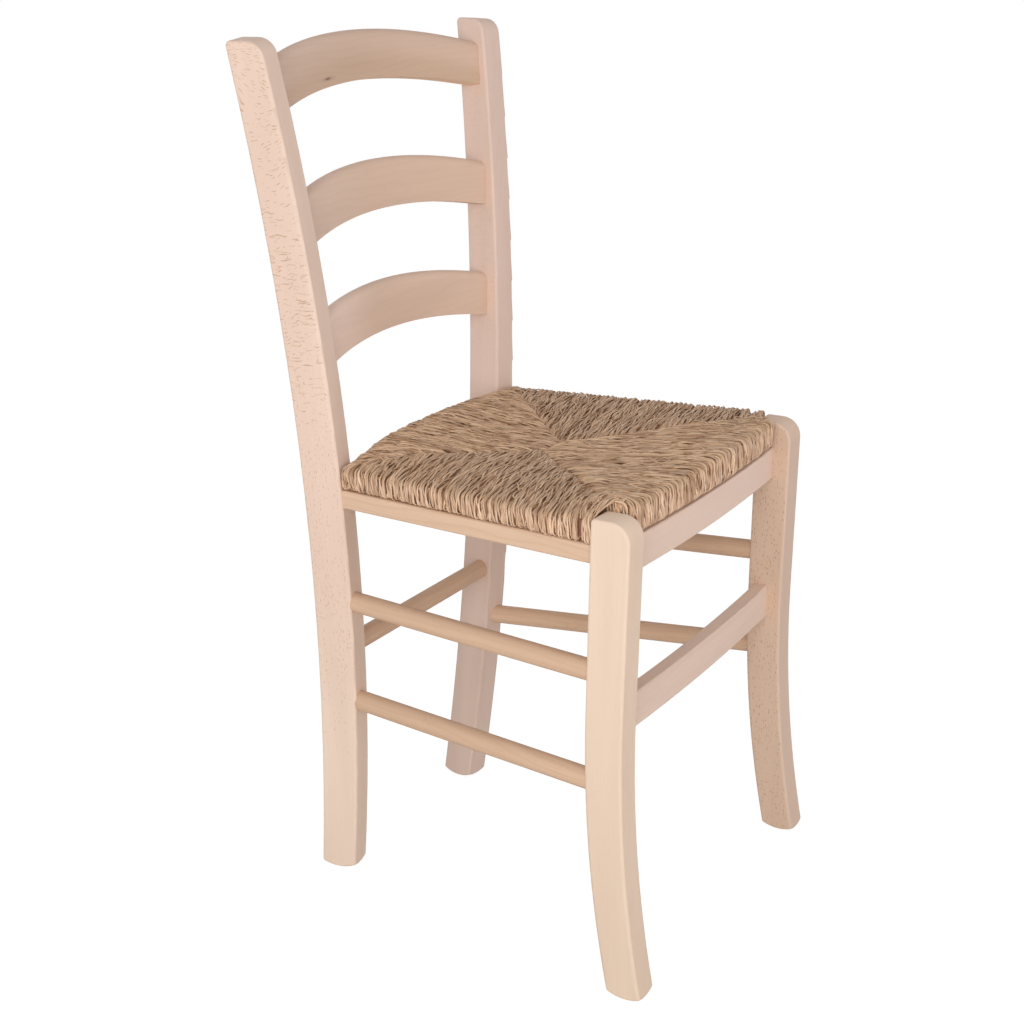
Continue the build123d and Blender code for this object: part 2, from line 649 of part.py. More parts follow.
def screw(y, grow=0.0):
    """A countersunk screw up through the right side rail into the seat's frame."""
    share = (y - RAIL_BACK.Y) / (RAIL_FRONT.Y - RAIL_BACK.Y)
    on_rail = RAIL_BACK + (RAIL_FRONT - RAIL_BACK) * share
    length = RAIL_HEIGHT + REST_GAP + FRAME_COVER + SCREW_BITE + grow
    upward = (Align.CENTER, Align.CENTER, Align.MIN)
    head = Cone(SCREW_HEAD / 2 + grow, SCREW_SHANK / 2 + grow, SCREW_HEAD_HEIGHT, align=upward)
    shank = Cylinder(SCREW_SHANK / 2 + grow, length, align=upward)
    return Pos(on_rail.X, on_rail.Y, on_rail.Z - RAIL_HEIGHT / 2) * (head + shank)


# The whole chair

def chair():
    pieces = {}
    pairs = {"back_post": back_post(), "front_leg": front_leg(), "side_rail": side_rail()}
    pairs["seat_frame_side"] = frame_side()
    for name, heights in DOWEL_HEIGHTS.items():
        pairs[name] = side_dowel(*heights)
    for name, right in pairs.items():
        pieces[name + "_left"], pieces[name + "_right"] = both_sides(right)
    for index, name in enumerate(SLAT_NAMES):
        pieces[name] = slat(index)
    pieces["front_apron"] = front_apron()
    pieces["front_stretcher"] = front_stretcher()
    pieces["rear_rail"] = rear_rail()
    pieces["rear_stretcher"] = rear_dowel()
    pieces["seat_frame_front"] = frame_front()
    pieces["seat_frame_rear"] = frame_rear()
    pieces["rush_weave"] = rush_weave()
    screws = [s for y in SCREW_Y for s in both_sides(screw(y))]
    pieces["seat_screws"] = Compound(children=[s.solid() for s in screws])
    return pieces


os.makedirs("parts", exist_ok=True)
for name, piece in chair().items():
    export_step(piece, f"parts/{name}.step")
    box = piece.bounding_box()
    print(f"{name}: {len(piece.solids())} solid, {piece.volume / 1000:.1f} cm3, "
          f"z {box.min.Z:.1f} to {box.max.Z:.1f}")
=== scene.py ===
import math
import bpy
import numpy as np
from mathutils import Matrix, Vector


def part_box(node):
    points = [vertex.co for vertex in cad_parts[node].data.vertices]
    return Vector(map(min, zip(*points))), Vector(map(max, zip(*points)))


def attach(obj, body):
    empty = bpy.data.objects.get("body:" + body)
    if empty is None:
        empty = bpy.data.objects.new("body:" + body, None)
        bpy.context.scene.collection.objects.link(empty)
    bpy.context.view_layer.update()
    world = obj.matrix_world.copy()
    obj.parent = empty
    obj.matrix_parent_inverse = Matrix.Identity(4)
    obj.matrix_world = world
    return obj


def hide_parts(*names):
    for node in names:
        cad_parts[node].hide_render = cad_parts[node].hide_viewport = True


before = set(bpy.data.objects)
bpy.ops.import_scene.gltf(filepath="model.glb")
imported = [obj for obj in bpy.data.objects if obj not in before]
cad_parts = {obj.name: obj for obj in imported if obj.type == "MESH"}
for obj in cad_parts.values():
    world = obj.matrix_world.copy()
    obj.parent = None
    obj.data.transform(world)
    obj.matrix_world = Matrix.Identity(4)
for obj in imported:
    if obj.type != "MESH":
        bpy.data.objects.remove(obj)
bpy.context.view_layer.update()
rng = np.random.default_rng(20)

# Camera, as the photograph was taken. Angles in degrees, the focal length and the picture's centre in pixels.
PICTURE = 1024
CAMERA_AT = Vector((-1.53522, -0.85403, 0.98602))
CAMERA_YAW = 59.563
CAMERA_PITCH = -18.415
CAMERA_ROLL = 0.093
CAMERA_FOCAL = 1775.4
CAMERA_CENTRE = (499.8, 508.9)
SENSOR = 36.0

# Light and floor
SKY_LEVEL = 0.66
SKY_ABOVE = 0.36
KEY_POWER = 27.0
KEY_AT = Vector((-2.1, -0.75, 1.05))
KEY_SIZE = 1.5
KEY_COLOUR = (1.0, 0.985, 0.965)
FILL_POWER = 9.0
FILL_AT = Vector((0.4, -2.6, 1.1))
FILL_SIZE = 2.0
FILL_COLOUR = (1.0, 0.965, 1.0)
SKY_COLOUR = (1.0, 0.966, 0.985)
LIGHT_AIM = Vector((0.0, 0.0, 0.45))
FLOOR_HALF = 6.0
FLOOR_COLOUR = (0.78, 0.77, 0.76, 1.0)
FLOOR_SEEN_COLOUR = (0.3, 0.3, 0.3, 1.0)
FLOOR_GLOW = 0.87
WHITE = (1.0, 1.0, 1.0, 1.0)

# Seat, in millimetres, in the frame of the CAD. Heights are above the underside of the rush.
MM = 0.001
RUSH_LOW, RUSH_HIGH = [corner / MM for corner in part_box("rush_weave")]
REAR_Y = RUSH_HIGH.y
FRONT_BOW = 6.5
FRONT_Y = RUSH_LOW.y + FRONT_BOW
NOTCH_Y = -158.12
REAR_HALF = 170.2
NOTCH_HALF = 203.0
FRONT_HALF = 172.5
SEAT_TILT = 0.0131
SEAT_THICK = 32.0
EDGE_LIFT = 1.5
EDGE_LIFT_RUN = 9.0
SEAT_CORNER = 12.0
REAR_CORNER = 5.0
TOP_ROUND = 6.5
LOW_ROUND = 6.0
SIDE_FALL_LEFT = 9.5
SIDE_FALL_RIGHT = 1.0
SIDE_FALL_RUN = 90.0
REAR_BOW = 5.0
REAR_BOW_HALF = 138.0
REAR_CROWN = 5.5
DISH = 9.0
DISH_MIDDLE = (0.0, -25.4)
DISH_REACH = (170.0, 150.0)
CROWN_RUN = 55.0
SLOPE_POWER = 1.5
RIDGE_HALF = 20.0
RIDGE_Y = -13.4

# Rush cords: a few flat leaves twisted together a little
CORD_PITCH = 5.25
CORD_RADIUS = 2.75
LEAF_COUNT = 7
LEAF_TWIST = -66.0
LEAF_OFFSET = 2.0
LEAF_HALF_THICK = 0.65
LEAF_HALF_WIDE = 1.0
LEAF_SIDES = 4
LEAF_TURN_SPREAD = 0.3
LEAF_TWIST_SPREAD = (0.7, 1.4)
LEAF_OFFSET_SPREAD = (0.85, 1.1)
LEAF_WIDE_SPREAD = (0.7, 1.4)
LEAF_THICK_SPREAD = (0.85, 1.15)
DIVE_RUN = 12.0
DIVE_DROP = 6.0
DIVE_FULL = 90.0
SIDE_PAST_SEAM = 8.0
LONG_PAST_SEAM = 5.0
BARE_GAP = 6.0
END_CORDS = ((8.2, 8.5), (4.4, 9.5), (0.2, 0.0), (-2.5, 0.0), (-5.0, 0.0))
NOTCH_RUN = 24.0
NOTCH_SWEEP = 17.0
NOTCH_SWEEP_RUN = 40.0
NOTCH_LIFT = 10.0
NOTCH_LIFT_AHEAD = 8.0
NOTCH_LIFT_REACH = 28.0
FRONT_SEAM = (NOTCH_Y - 6.0, FRONT_HALF - 2.0)
REAR_SEAM = (REAR_Y - 1.0, REAR_HALF - 2.0)
SEAM_LEAN = 0.05
SHORTEST_TOP = TOP_ROUND + 5.0
SHORTEST_LOW = LOW_ROUND + 6.0
LOW_STEP = 12.0
TOP_STEP = 4.0
CORD_JITTER = 0.35
CORD_FULLNESS = (0.9, 1.14)

# Wobbles along a strand: their size, and the length over which they change
CORD_WOBBLE = (0.7, 14.0)
LEAF_TURN_WOBBLE = (0.9, 9.0)
LEAF_OFFSET_WOBBLE = (0.28, 7.0)
LEAF_WIDE_WOBBLE = (0.25, 9.0)
LEAF_THICK_WOBBLE = (0.14, 8.0)

# Loose leaves
STRAY_LEAVES = 60
STRAY_ROOM = 26.0
STRAY_LENGTH = (12.0, 24.0)
STRAY_SLANT = 0.32
STRAY_SIDE_INSET = 16.0
STRAY_REAR_INSET = 5.0
STRAY_RISE = (0.2, 1.1)
STRAY_TUCK = 2.2
STRAY_WIDE = (0.5, 0.9)
STRAY_FLATNESS = 0.4
STRAY_TINT = (0.35, 1.0)

# Stuffing. The shares are of its outline's size, ring by ring.
CORE_INSET = 2 * CORD_RADIUS - 2.0
CORE_STOP = NOTCH_Y + 3.4 * CORE_INSET
CORE_SHARES = (1.0, 0.97, 0.9, 0.75, 0.55, 0.35, 0.15)
CORE_RIM_LOW = 3.0
CORE_RIM_TOP = 4.0

# Colours of the rush. A tint has its middle and its spread. Waves are to the metre and to the texture map.
# The side panels' tint has a lower middle than the front and rear panels': painted shade on the side panels.
SIDE_SHADED_TINT = (0.45, 0.6)
LONG_TINT = (0.5, 1.0)
CORD_TINT_SPREAD = 0.12
LEAF_TINT_SPREAD = 0.26
# Painted light on the wraps round the seat's edge: the colour is raised by these factors, from this depth
# below the top, over this run.
EDGE_LIGHT_FROM = 3.5
EDGE_LIGHT_RUN = 4.0
EDGE_LIGHT = (1.19, 1.22, 1.30)
STREAK_WAVES = (55.0, 900.0, 0.0)
PATCH_WAVES = (22.0, 200.0, 0.0)
RUSH_DARK = (0.39, 0.222, 0.118)
RUSH_PALE = (0.81, 0.562, 0.352)
RUSH_RED = (0.46, 0.225, 0.14)
STREAK_PALE = (0.87, 0.686, 0.522)
STREAK_DARK = (0.27, 0.145, 0.08)
STUFFING_DARK = (0.26, 0.145, 0.08)
STUFFING_PALE = (0.44, 0.275, 0.165)
STUFFING_WAVES = (120.0, 500.0, 500.0)

# Roughness from one end of the pattern to the other, and bump as its strength and its depth in metres
RUSH_ROUGHNESS = (0.68, 0.45)
RUSH_BUMP = (0.35, 0.0006)
STUFFING_ROUGHNESS = (0.8, 0.92)
STUFFING_BUMP = (0.5, 0.001)


# Small tools for meshes and materials

def new_object(name, verts, faces):
    mesh = bpy.data.meshes.new(name)
    mesh.from_pydata(verts, [], faces)
    obj = bpy.data.objects.new(name, mesh)
    bpy.context.scene.collection.objects.link(obj)
    return obj


def smooth_object(name, verts, faces, material):
    obj = new_object(name, verts, faces)
    obj.data.polygons.foreach_set("use_smooth", np.ones(len(faces), dtype=bool))
    obj.data.materials.append(material)
    return obj


class Nodes:
    """A node tree, with short calls to add nodes and wire them."""

    def __init__(self, tree):
        self.tree = tree

    def plug(self, socket, value):
        if isinstance(value, bpy.types.NodeSocket):
            self.tree.links.new(value, socket)
        else:
            socket.default_value = value

    def node(self, kind, inputs=None, **settings):
        made = self.tree.nodes.new(kind)
        for key, value in settings.items():
            setattr(made, key, value)
        for key, value in (inputs or {}).items():
            self.plug(made.inputs[key], value)
        return made

    def math(self, operation, first, second=0.0, third=0.0):
        inputs = {0: first, 1: second, 2: third}
        return self.node("ShaderNodeMath", inputs, operation=operation).outputs[0]

    def ramp(self, value, low, high, to_low=0.0, to_high=1.0):
        inputs = {"Value": value, "From Min": low, "From Max": high, "To Min": to_low, "To Max": to_high}
        made = self.node("ShaderNodeMapRange", inputs, interpolation_type="SMOOTHSTEP")
        return made.outputs["Result"]

    def mix(self, share, first, second, blend="MIX"):
        made = self.node("ShaderNodeMix", data_type="RGBA", blend_type=blend)
        self.plug(made.inputs["Factor"], share)
        for socket, value in ((made.inputs[6], first), (made.inputs[7], second)):
            self.plug(socket, (*value, 1.0) if isinstance(value, tuple) and len(value) == 3 else value)
        return made.outputs[2]

    def vector(self, operation, first, second):
        return self.node("ShaderNodeVectorMath", {0: first, 1: second}, operation=operation).outputs[0]

    def scaled(self, vector, factors):
        return self.vector("MULTIPLY", vector, factors)

    def noise(self, vector, detail=2.0, seed=0.0):
        made = self.node("ShaderNodeTexNoise", noise_dimensions="4D")
        for name, value in (("Vector", vector), ("W", seed), ("Scale", 1.0), ("Detail", detail)):
            self.plug(made.inputs[name], value)
        return made.outputs["Fac"]

    def parts(self, vector):
        return self.node("ShaderNodeSeparateXYZ", {0: vector}).outputs

    def joined(self, x, y):
        return self.node("ShaderNodeCombineXYZ", {0: x, 1: y}).outputs[0]

    def length(self, vector):
        return self.node("ShaderNodeVectorMath", {0: vector}, operation="LENGTH").outputs["Value"]

    def attribute(self, name):
        return self.node("ShaderNodeAttribute", attribute_name=name).outputs["Fac"]


class Shader(Nodes):
    """A material with one plain surface."""

    def __init__(self, name, roughness=0.6, specular=0.3):
        self.material = bpy.data.materials.new(name)
        self.material.use_nodes = True
        super().__init__(self.material.node_tree)
        self.surface = self.tree.nodes["Principled BSDF"]
        self.surface.inputs["Roughness"].default_value = roughness
        self.surface.inputs["Specular IOR Level"].default_value = specular

    def bump(self, height, strength, distance):
        inputs = {"Height": height, "Strength": strength, "Distance": distance}
        made = self.node("ShaderNodeBump", inputs)
        self.plug(self.surface.inputs["Normal"], made.outputs["Normal"])

    def colour(self, value):
        self.plug(self.surface.inputs["Base Color"], value)

    def roughness(self, value):
        self.plug(self.surface.inputs["Roughness"], value)


# Camera, light and floor

def add_camera():
    yaw, pitch, roll = [math.radians(angle) for angle in (CAMERA_YAW, CAMERA_PITCH, CAMERA_ROLL)]
    ahead = Vector((math.sin(yaw) * math.cos(pitch), math.cos(yaw) * math.cos(pitch), math.sin(pitch)))
    level = ahead.cross(Vector((0, 0, 1))).normalized()
    down = ahead.cross(level)
    right = level * math.cos(roll) + down * math.sin(roll)
    up = level * math.sin(roll) - down * math.cos(roll)
    turn = Matrix((right, up, -ahead)).transposed().to_4x4()
    data = bpy.data.cameras.new("camera")
    data.sensor_width = SENSOR
    data.lens = CAMERA_FOCAL / PICTURE * SENSOR
    data.shift_x = 0.5 - CAMERA_CENTRE[0] / PICTURE
    data.shift_y = CAMERA_CENTRE[1] / PICTURE - 0.5
    camera = bpy.data.objects.new("camera", data)
    camera.matrix_world = Matrix.Translation(CAMERA_AT) @ turn
    bpy.context.scene.collection.objects.link(camera)
    bpy.context.scene.camera = camera


def add_area(name, at, size, power, colour):
    data = bpy.data.lights.new(name, "AREA")
    data.size = size
    data.energy = power
    data.color = colour
    lamp = bpy.data.objects.new(name, data)
    lamp.location = at
    lamp.rotation_mode = "QUATERNION"
    lamp.rotation_quaternion = (LIGHT_AIM - at).to_track_quat("-Z", "Y")
    bpy.context.scene.collection.objects.link(lamp)


def add_world():
    """A white backdrop to the camera, and a softer sky that fades upward for the light."""
    world = bpy.data.worlds.new("studio")
    world.use_nodes = True
    world.node_tree.nodes.clear()
    made = Nodes(world.node_tree)
    way = made.node("ShaderNodeTexCoord").outputs["Generated"]
    levels = {"Value": made.parts(way)["Z"], "To Min": SKY_LEVEL, "To Max": SKY_ABOVE}
    fade = made.node("ShaderNodeMapRange", levels).outputs["Result"]
    sky = made.node("ShaderNodeBackground", {"Color": (*SKY_COLOUR, 1.0), "Strength": fade})
    seen = made.node("ShaderNodeBackground", {"Color": WHITE})
    path = made.node("ShaderNodeLightPath").outputs
    direct = made.math("MAXIMUM", path["Is Camera Ray"], path["Is Glossy Ray"])
    both = made.node("ShaderNodeMixShader", {0: direct, 1: sky.outputs[0], 2: seen.outputs[0]})
    made.node("ShaderNodeOutputWorld", {"Surface": both.outputs[0]})
    bpy.context.scene.world = world


def add_floor():
    """A pale floor that reads as white to the camera and still takes the chair's shadow."""
    half = FLOOR_HALF
    corners = [(-half, -half, 0), (half, -half, 0), (half, half, 0), (-half, half, 0)]
    floor = new_object("floor", corners, [(0, 1, 2, 3)])
    material = bpy.data.materials.new("floor")
    material.use_nodes = True
    material.node_tree.nodes.clear()
    made = Nodes(material.node_tree)
    plain = made.node("ShaderNodeBsdfDiffuse", {"Color": FLOOR_COLOUR})
    faint = made.node("ShaderNodeBsdfDiffuse", {"Color": FLOOR_SEEN_COLOUR})
    glow = made.node("ShaderNodeEmission", {"Strength": FLOOR_GLOW})
    white = made.node("ShaderNodeAddShader", {0: faint.outputs[0], 1: glow.outputs[0]})
    seen = made.node("ShaderNodeLightPath").outputs["Is Camera Ray"]
    both = made.node("ShaderNodeMixShader", {0: seen, 1: plain.outputs[0], 2: white.outputs[0]})
    made.node("ShaderNodeOutputMaterial", {"Surface": both.outputs[0]})
    floor.data.materials.append(material)


# Wood and steel

ACROSS = Vector((1, 0, 0))
PLAIN = (1.0, 1.0, 1.0)
PALE = (0.88, 0.695, 0.535)
ROSE = (0.83, 0.64, 0.52)
GREY_PINK = (0.79, 0.605, 0.505)
PINK = (0.865, 0.664, 0.54)
SLAT = (0.77, 0.562, 0.425)
BROWN = (0.632, 0.444, 0.313)
TAN = (0.79, 0.595, 0.465)
YELLOW = (0.76, 0.545, 0.388)
DOWEL = (0.715, 0.498, 0.342)
# Seat frame colour: sawn beech darkened to a deep red brown, painted shade for the slot beside the front leg.
SAWN_IN_SHADE = (0.30, 0.14, 0.095)
KNOT = (0.17, 0.085, 0.05)
DULL_STEEL = (0.52, 0.52, 0.53)
BRIGHT_STEEL = (0.70, 0.70, 0.69)

# Tones as factors of a board's own colour
LIGHT_DRIFT = (1.035, 1.04, 1.05)
DARK_DRIFT = (0.955, 0.95, 0.945)
DEEP_LINE = (0.86, 0.80, 0.74)
BROWN_MARK = (0.66, 0.50, 0.40)

# Places in metres. An upright's are along its length from its middle, up being positive.
SLAT_ARCH_RADIUS = 0.687
# Depths under a slat's upper edge over which its painted light fades.
UPPER_EDGE_LIGHT_DEPTH = (0.014, 0.036)
# Where the painted light toward a slat's left end runs out.
LEFT_LIGHT_FADE = (-0.02, -0.115)
KNOT_AT = (-0.0695, 0.8352)
KNOT_HALF = (0.0075, 0.0013)
KNOT_SLANT = -0.4
FLECK_FADE = (0.04, 0.17)
LONG_FLECK_FADE = (0.31, 0.26)
FOOT_TONE_FADE = (-0.02, -0.32)
SPECK_START = (-0.34, -0.12)
SPECK_FADE = (0.36, 0.16)

# Marks on the side faces, in millimetres along and across the grain
FLECK_SPACING = (3.8, 6.4)
FLECK_SIZE = (0.68, 3.5)
LONG_FLECK_SPACING = (5.2, 15.0)
LONG_FLECK_SIZE = (0.75, 8.2)
SPECK_SPACING = (5.0, 2.9)
SPECK_SIZE = (2.5, 0.68)

# Flecks: the greatest share of cells with one, their slant, and their bend in metres
MOST_FLECKS = 0.85
FLECK_SLANT = 0.55
FLECK_BEND = 0.007
LONG_FLECK_BEND = 0.006

# Growth rings to the metre, through a board and up it or through an upright and across it
UPRIGHT_RINGS = (190.0, 65.0)
BOARD_RINGS = (25.0, 130.0)
RING_BEND = 7.0

# Strength of the growth lines on a kind of piece, and how dark the rings, fibres and dashes are
UPRIGHT_LINES = 0.22
SLAT_LINES = 0.45
RING_DEPTH = 0.34
FIBRE_DEPTH = 0.30
DASH_DEPTH = 0.55

# Noise in waves to the metre, along and across the grain
FIBRE_WAVES = (14.0, 900.0)
RING_WAVES = (4.0, 16.0)
DRIFT_WAVES = (3.0, 28.0)
DASH_WAVES = (240.0, 1000.0)
CLUSTER_WAVES = (18.0, 60.0)
SLANT_WAVES = (11.0, 4.0)
BEND_WAVES = (60.0, 130.0)
FLECK_PATCH_WAVES = (14.0, 40.0)
SPECK_PATCH_WAVES = (16.0, 60.0)

# How far the grain leans out of the upright or out of the line from front to rear
POST_LEAN = 0.082
RAIL_LEAN = 0.1
SEAT_FRAME_LEAN = 0.13
STRETCHER_LEAN = 0.21

# Roughness from one end of the pattern to the other, and bump as its strength and its depth in metres
BEECH_ROUGHNESS = (0.54, 0.70)
BEECH_BUMP = (0.12, 0.0004)
STEEL_ROUGHNESS = (0.28, 0.5)
STEEL_BUMP = (0.08, 0.0002)
STEEL_WAVES = (900.0, 900.0, 260.0)


class Beech(Shader):
    """Raw sanded beech, with its grain along one direction through the middle of its node."""

    def __init__(self, node, along, base, seed):
        super().__init__(node, roughness=0.62, specular=0.25)
        self.base = base
        self.seed = 3.7 * seed
        low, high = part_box(node)
        turn = along.rotation_difference(ACROSS).to_euler()
        shift = -(turn.to_matrix() @ (0.5 * (low + high)))
        place = self.node("ShaderNodeTexCoord")
        inputs = {"Vector": place.outputs["Object"], "Rotation": tuple(turn), "Location": tuple(shift)}
        self.grain = self.node("ShaderNodeMapping", inputs).outputs["Vector"]
        self.tone = None
        self.dents = 0.0
        self.flecked = 0.0
        facing = self.parts(place.outputs["Normal"])
        # Faces turned sideways: they carry the side-face marks and the painted shade on side faces.
        self.sideways = self.ramp(self.math("ABSOLUTE", facing["X"]), 0.65, 0.9)
        # Faces turned downward: they take the painted light on a slat's underside.
        self.downward = self.ramp(facing["Z"], -0.55, -0.85)

    def shade(self, *factors):
        return tuple(min(1.0, c * k) for c, k in zip(self.base, factors))

    def field(self, waves, detail=2.0, step=0.0):
        """Noise stretched along the grain."""
        along, across = waves
        return self.noise(self.scaled(self.grain, (along, across, across)), detail, self.seed + step)

    def add_grain(self, lines, rings):
        """Slow changes of tone, growth rings and fine fibre lines."""
        self.fibre = self.field(FIBRE_WAVES)
        deep = self.shade(*DEEP_LINE)
        apart = self.parts(self.grain)
        ring_at = self.math("MULTIPLY", apart["Z"], rings[1])
        ring_at = self.math("MULTIPLY_ADD", apart["Y"], rings[0], ring_at)
        ring_at = self.math("MULTIPLY_ADD", self.field(RING_WAVES, step=1.0), RING_BEND, ring_at)
        ring = self.ramp(self.math("FRACT", ring_at), 0.55, 1.0)
        drift = self.ramp(self.field(DRIFT_WAVES, 3.0, step=2.0), 0.3, 0.7)
        self.tone = self.mix(drift, self.shade(*LIGHT_DRIFT), self.shade(*DARK_DRIFT))
        self.tone = self.mix(self.math("MULTIPLY", ring, RING_DEPTH * lines), self.tone, deep)
        self.tone = self.mix(self.ramp(self.fibre, 0.5, 0.75, 0.0, FIBRE_DEPTH * lines), self.tone, deep)

    def change_tone(self, share, factors):
        self.tone = self.mix(share, self.tone, factors, blend="MULTIPLY")

    def fade_to_foot(self, factors):
        """Change the tone of an upright by these factors toward its foot."""
        self.change_tone(self.ramp(self.parts(self.grain)["X"], *FOOT_TONE_FADE), factors)

    def light_left_end(self, factors):
        """Paint light on a slat toward its left end: change its tone by these factors."""
        self.change_tone(self.ramp(self.parts(self.grain)["X"], *LEFT_LIGHT_FADE), factors)

    def light_upper_edge(self, half_height, factors):
        """Paint light along a slat's arched upper edge: change its tone by these factors."""
        apart = self.parts(self.grain)
        out = self.math("MULTIPLY", apart["X"], apart["X"])
        height = self.math("MULTIPLY_ADD", out, 0.5 / SLAT_ARCH_RADIUS, apart["Z"])
        full, none = [half_height - depth for depth in UPPER_EDGE_LIGHT_DEPTH]
        self.change_tone(self.ramp(height, none, full), factors)

    def shade_sides(self, factors):
        """Paint shade on an upright's side faces: change their tone by these factors."""
        self.change_tone(self.sideways, factors)

    def light_underside(self, factors):
        """Paint light on a slat's underside: change its tone by these factors."""
        self.change_tone(self.downward, factors)

    def mark(self, shape, strength):
        """Lay brown marks on the wood and sink them a little."""
        self.tone = self.mix(self.math("MULTIPLY", shape, strength), self.tone, self.shade(*BROWN_MARK))
        self.dents = self.math("MAXIMUM", shape, self.dents)

    def add_dashes(self, amount):
        """Short pore dashes along the grain, some in clusters."""
        dash = self.field(DASH_WAVES, 1.0, step=3.0)
        cluster = self.ramp(self.field(CLUSTER_WAVES, 1.0, step=4.0), 0.35, 0.65, 0.05, -0.03)
        fewer = 0.09 * amount
        dash = self.ramp(self.math("SUBTRACT", dash, cluster), 0.735 - fewer, 0.80 - fewer)
        self.mark(dash, DASH_DEPTH)

    def spots(self, place, spacing, size, share, seed):
        """Oval marks on the side faces, one to a cell in this share of the cells."""
        place = self.scaled(place, (1 / (MM * spacing[0]), 1 / (MM * spacing[1]), 0.0))
        place = self.vector("ADD", place, (seed, 2.3 * seed, 0.0))
        cell = self.node("ShaderNodeTexVoronoi", {"Vector": place, "Scale": 1.0}, voronoi_dimensions="2D")
        away = self.vector("SUBTRACT", place, cell.outputs["Position"])
        reach = self.length(self.scaled(away, (spacing[0] / size[0], spacing[1] / size[1], 0.0)))
        chance = self.node("ShaderNodeSeparateColor", {0: cell.outputs["Color"]}).outputs
        kept = self.math("LESS_THAN", chance[0], share)
        depth = self.math("MULTIPLY", kept, self.ramp(chance[1], 0.0, 1.0, 0.35, 1.0))
        edge = self.ramp(chance[2], 0.0, 1.0, 0.55, 1.0)
        shape = self.math("MULTIPLY", depth, self.ramp(self.math("DIVIDE", reach, edge), 1.0, 0.45))
        return self.math("MULTIPLY", shape, self.sideways)

    def add_flecks(self, amount):
        """Thin wavy ray flecks across the grain in the upper part of a post, slanting either way."""
        apart = self.parts(self.grain)
        slant = self.ramp(self.field(SLANT_WAVES, 1.0, step=5.0), 0.35, 0.65, -FLECK_SLANT, FLECK_SLANT)
        wave = self.math("SUBTRACT", self.field(BEND_WAVES, 1.0, step=6.0), 0.5)
        lean = self.math("MULTIPLY_ADD", apart["Y"], slant, apart["X"])
        place = self.joined(self.math("MULTIPLY_ADD", wave, FLECK_BEND, lean), apart["Y"])
        self.flecked = self.ramp(apart["X"], *FLECK_FADE)
        patch = self.ramp(self.field(FLECK_PATCH_WAVES, 1.0, step=8.0), 0.36, 0.58, 0.35, 1.0)
        share = self.math("MULTIPLY", self.math("MULTIPLY", patch, self.flecked), MOST_FLECKS)
        self.mark(self.spots(place, FLECK_SPACING, FLECK_SIZE, share, self.seed), amount)
        place = self.joined(self.math("MULTIPLY_ADD", wave, LONG_FLECK_BEND, apart["X"]), apart["Y"])
        band = self.math("MULTIPLY", self.flecked, self.ramp(apart["X"], *LONG_FLECK_FADE))
        share = self.math("MULTIPLY", band, MOST_FLECKS)
        shape = self.spots(place, LONG_FLECK_SPACING, LONG_FLECK_SIZE, share, self.seed + 2.0)
        self.mark(shape, 0.9 * amount)

    def add_specks(self, amount):
        """Small pore specks along the grain, close together about the middle of a post or leg."""
        along = self.parts(self.grain)["X"]
        middle = self.math("MULTIPLY", self.ramp(along, *SPECK_START), self.ramp(along, *SPECK_FADE))
        patch = self.ramp(self.field(SPECK_PATCH_WAVES, 1.0, step=9.0), 0.35, 0.6, 0.35, 1.0)
        bare = self.ramp(self.flecked, 0.0, 1.0, 0.85, 0.15)
        share = self.math("MULTIPLY", self.math("MULTIPLY", patch, middle), bare)
        self.mark(self.spots(self.grain, SPECK_SPACING, SPECK_SIZE, share, self.seed + 5.0), amount)

    def add_knot(self, along, up):
        """A small dark knot in a board, this far along and above its middle, tilted up to one side."""
        apart = self.parts(self.grain)
        run = self.math("DIVIDE", self.math("SUBTRACT", apart["X"], along), KNOT_HALF[0])
        rise = self.math("DIVIDE", self.math("SUBTRACT", apart["Z"], up), KNOT_HALF[1])
        reach = self.length(self.joined(run, self.math("MULTIPLY_ADD", run, KNOT_SLANT, rise)))
        self.tone = self.mix(self.ramp(reach, 2.6, 0.8, 0.0, 0.22), self.tone, KNOT)
        self.tone = self.mix(self.ramp(reach, 1.0, 0.35, 0.0, 0.8), self.tone, KNOT)

    def done(self):
        self.colour(self.tone)
        self.roughness(self.ramp(self.fibre, 0.3, 0.8, *BEECH_ROUGHNESS))
        relief = self.math("MULTIPLY_ADD", self.dents, -0.6, self.math("MULTIPLY", self.fibre, 0.5))
        self.bump(relief, *BEECH_BUMP)
        dress(self.material.name, self.material)


def upright(node, base, seed, lean=0.0, specks=0.0, flecks=0.0, foot=PLAIN, sides=PLAIN):
    """A post or leg: nearly smooth front and back, with marks on its side faces. Sides scales their tone as
    painted shade.
    """
    wood = Beech(node, Vector((lean, 0, 1)), base, seed)
    wood.add_grain(UPRIGHT_LINES, UPRIGHT_RINGS)
    wood.fade_to_foot(foot)
    wood.shade_sides(sides)
    if flecks:
        wood.add_flecks(flecks)
    wood.add_specks(specks)
    wood.done()


def board(node, base, seed, along=ACROSS, lines=0.5, dashes=0.0):
    """A rail or round stretcher with its grain along its length."""
    wood = Beech(node, along, base, seed)
    wood.add_grain(lines, BOARD_RINGS)
    wood.add_dashes(dashes)
    wood.done()


def slat(node, base, seed, left, edge=PLAIN, under_light=PLAIN, knot=False):
    """A back slat with painted light toward its left end, along its upper edge and on its underside."""
    low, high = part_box(node)
    wood = Beech(node, ACROSS, base, seed)
    wood.add_grain(SLAT_LINES, BOARD_RINGS)
    # left scales the tone toward the left end: painted light.
    wood.light_left_end(left)
    # edge carries the painted light along the upper edge.
    wood.light_upper_edge(0.5 * (high.z - low.z), edge)
    wood.light_underside(under_light)
    if knot:
        wood.add_knot(KNOT_AT[0], KNOT_AT[1] - 0.5 * (low.z + high.z))
    wood.done()


def dress(name, material):
    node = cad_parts[name]
    node.data.materials.clear()
    node.data.materials.append(material)


